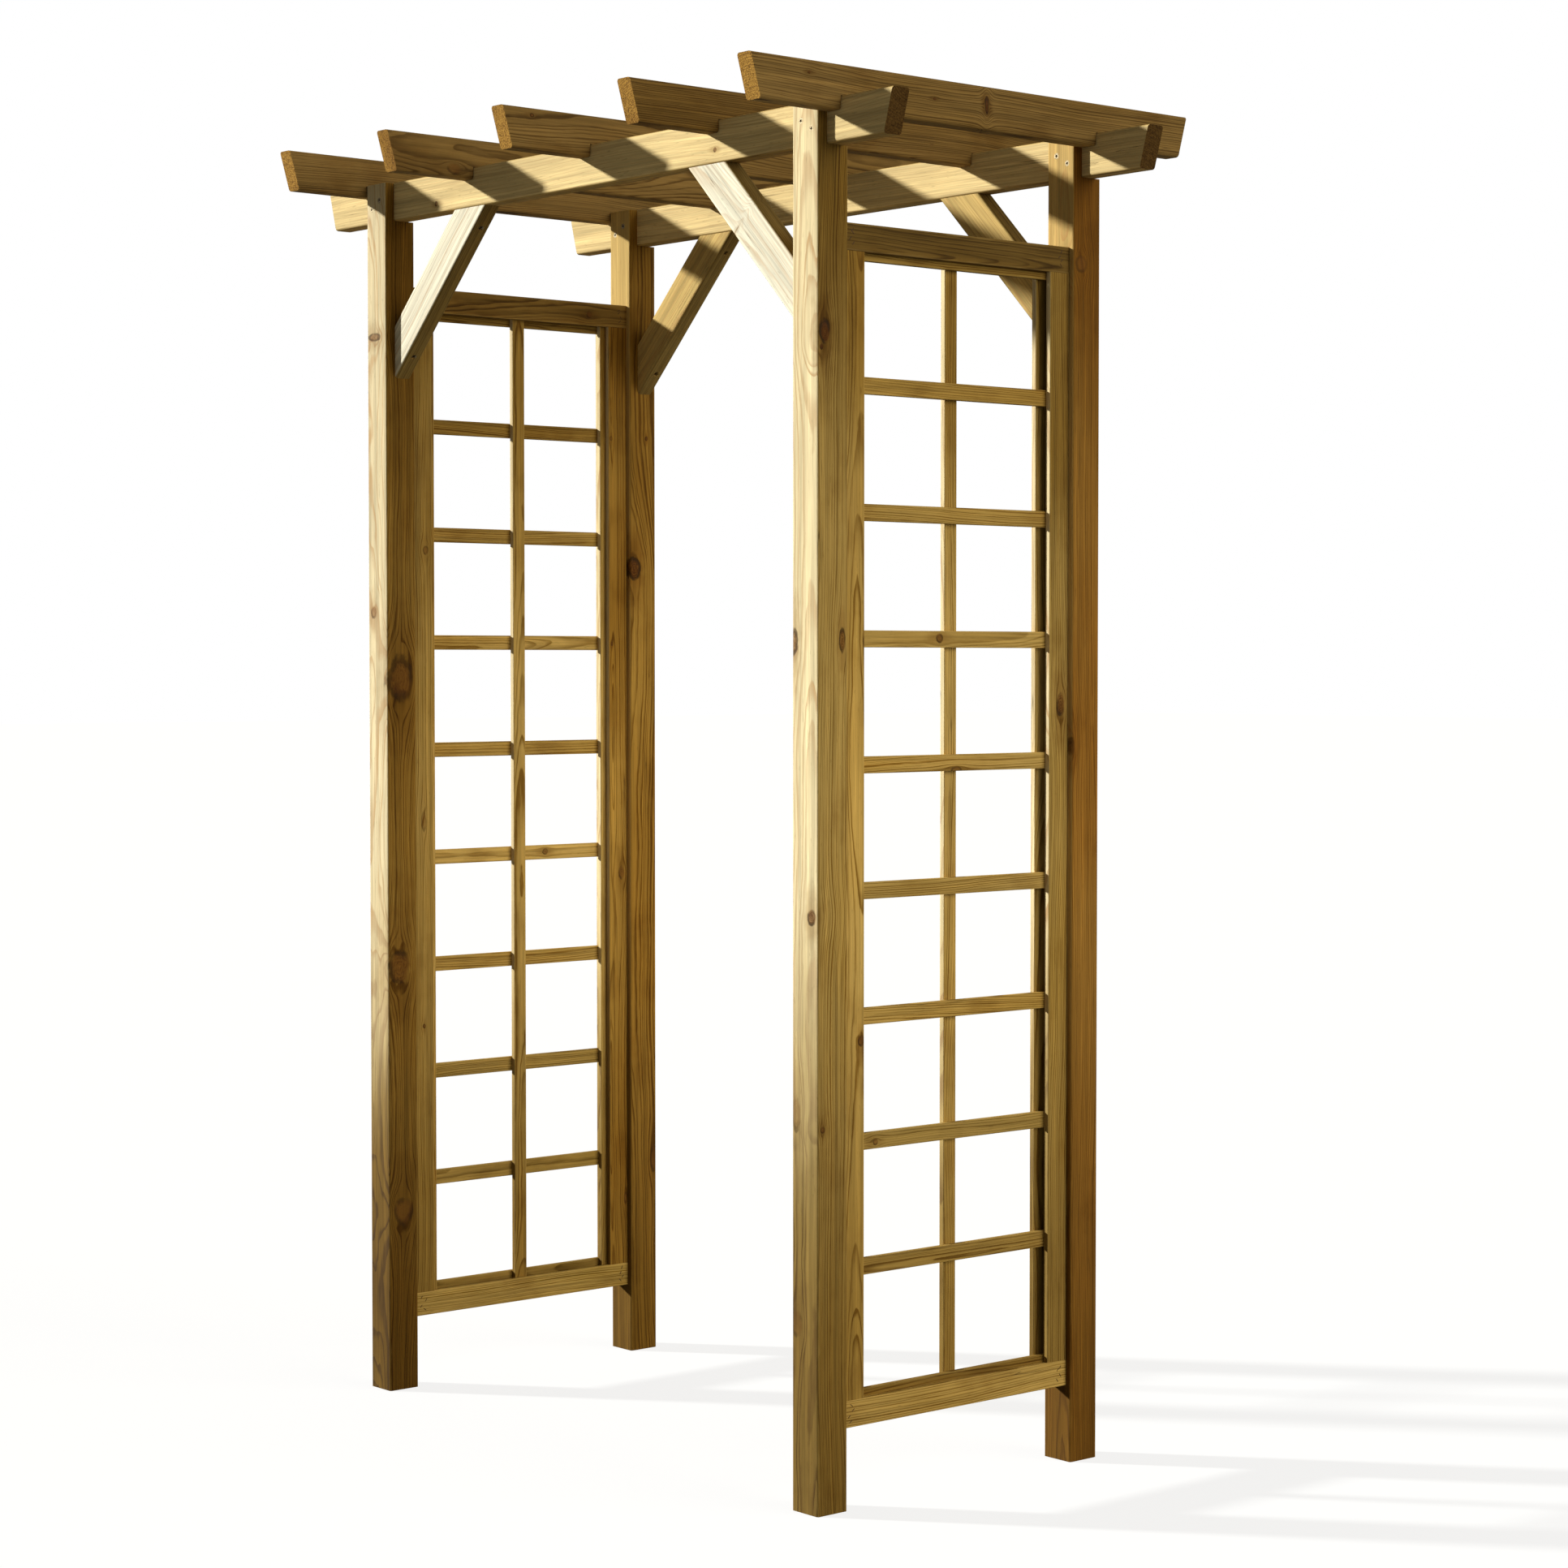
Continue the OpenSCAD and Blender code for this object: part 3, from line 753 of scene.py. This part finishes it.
def finish_trellis():
    for name in sorted(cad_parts):
        if not name.startswith(("left_", "right_")):
            continue
        upright = "stile" in name or "upright" in name
        kind = TRELLIS_KINDS.get(name, random.choice((GOLD, GOLD, GOLD, OLIVE)))

        # Mostly quarter-sawn, with straight lines, and now and then a board with arches
        off = random.choice((-1, 1)) * random.uniform(0.04, 0.09)
        beside = random.uniform(-0.02, 0.02)
        arched = 0.5 if "cross" in name or "rail" in name else 0.25
        if random.random() < arched:
            off, beside = beside, 1.6 * beside + 0.03
        timber(name, ALONG["z" if upright else "y"], kind, pith=(beside, off) if upright else (off, beside),
               ring=random.uniform(0.0030, 0.0042), figure=1.45, lean=random.uniform(0.002, 0.02),
               tone=TRELLIS_TONES.get(name, random.uniform(0.85, 1.15)),
               height_tint=0.5 if "bottom" in name else 1.0, painted_sun=0.7)


# Screws and staples

def finish_screws():
    """Yellow zinc, dulled by weather."""
    zinc, tree, shader, where = new_material("yellow zinc")
    patches = noise(tree, where, DULL_PLACES, 1.0, 3.0)
    dull = [part * loss for part, loss in zip(YELLOW_ZINC, DULLED)]
    colour = blend(tree, fade(tree, patches, 0.35, 0.65), (*YELLOW_ZINC, 1), (*dull, 1))
    put(tree, colour, shader.inputs["Base Color"])
    put(tree, scaled(tree, patches, 0.25, 0.45), shader.inputs["Roughness"])
    shader.inputs["Metallic"].default_value = 1.0
    for name in ("tongue_screws", "brace_screws", "rafter_screws"):
        finish(name, zinc)


def rusty_steel():
    """Staples that rain has turned dark brown."""
    material, tree, shader, where = new_material("rusty steel")
    spots = noise(tree, where, RUST_SPOTS, 4.0, 3.0)
    put(tree, blend(tree, fade(tree, spots, 0.35, 0.65), OLD_RUST, NEW_RUST), shader.inputs["Base Color"])
    put(tree, scaled(tree, spots, 0.3, 0.5), shader.inputs["Roughness"])
    put(tree, bumped(tree, spots, 0.4, 0.2 * MM), shader.inputs["Normal"])
    shader.inputs["Metallic"].default_value = 0.4
    shader.inputs["Specular IOR Level"].default_value = 0.2
    return material


def model_staple():
    """One staple, driven flush: a flat crown along Y, with the tops of its two legs."""
    bpy.ops.object.select_all(action="DESELECT")
    bpy.ops.mesh.primitive_cube_add(size=1, location=(0, 0, 0))
    staple = bpy.context.object
    staple.name = "staple"
    bpy.ops.object.mode_set(mode="EDIT")
    bpy.ops.transform.resize(value=[side * MM for side in STAPLE_CROWN])
    for at in (-STAPLE_LEG_START, STAPLE_LEG_START):
        bpy.ops.mesh.select_all(action="SELECT")
        bpy.ops.mesh.bisect(plane_co=(0, at * MM, 0), plane_no=(0, 1, 0))
    bpy.ops.mesh.select_all(action="DESELECT")
    bpy.ops.object.mode_set(mode="OBJECT")
    for face in staple.data.polygons:
        face.select = face.normal.x < -0.9 and abs(face.center.y) > STAPLE_LEG_START * MM
    bpy.ops.object.mode_set(mode="EDIT")
    bpy.ops.mesh.select_mode(type="FACE")
    bpy.ops.mesh.extrude_region_move(TRANSFORM_OT_translate={"value": (-STAPLE_LEG * MM, 0, 0)})
    bpy.ops.object.mode_set(mode="OBJECT")
    bevel = staple.modifiers.new("worn edges", "BEVEL")
    bevel.width = STAPLE_EDGE * MM
    bevel.segments = 2
    bpy.ops.object.modifier_apply(modifier=bevel.name)
    return staple


def drive_one(staple, place, outward):
    """A copy of the staple in a face that looks along X, turned one way or the other."""
    copy = staple.copy()
    copy.data = staple.data.copy()
    bpy.context.collection.objects.link(copy)
    turn = math.radians(random.uniform(*STAPLE_TURN) * random.choice((-1, 1, 1)))
    face_out = Matrix.Rotation(0 if outward > 0 else math.pi, 4, "Z")
    copy.data.transform(Matrix.Translation(place) @ face_out @ Matrix.Rotation(turn, 4, "X"))
    return copy


def drive_staples(staple, rust):
    """Four staples at each corner of the four trellis frames, each a little off line."""
    low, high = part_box("left_inner_top_rail")
    along, upward = STAPLE_STRAY
    for frame_name in ("left_inner", "left_outer", "right_inner", "right_outer"):
        outward = 1 if frame_name in ("left_inner", "right_outer") else -1
        copies = []
        for rail in ("top_rail", "bottom_rail"):
            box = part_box("%s_%s" % (frame_name, rail))
            face = box[1][0] if outward > 0 else box[0][0]
            for end, inward in ((low[1], 1), (high[1], -1)):
                for back, up in STAPLE_SPOTS:
                    place = Vector((face - outward * STAPLE_SINK * MM,
                                    end + inward * (back + random.uniform(-along, along)) * MM,
                                    box[0][2] + (up + random.uniform(-upward, upward)) * MM))
                    copies.append(drive_one(staple, place, outward))
        bpy.ops.object.select_all(action="DESELECT")
        for copy in copies:
            copy.select_set(True)
        bpy.context.view_layer.objects.active = copies[0]
        bpy.ops.object.join()
        piece = bpy.context.object
        piece.name = frame_name + "_staples"
        piece.data.materials.append(rust)
        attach(piece, "root")
    bpy.data.objects.remove(staple)


random.seed(11)
KNOT = make_knot_group()
SOFTWOOD = make_softwood_group()
place_camera()
lay_floor()
light_the_room()
finish_posts()
finish_roof()
finish_trellis()
finish_screws()
drive_staples(model_staple(), rusty_steel())
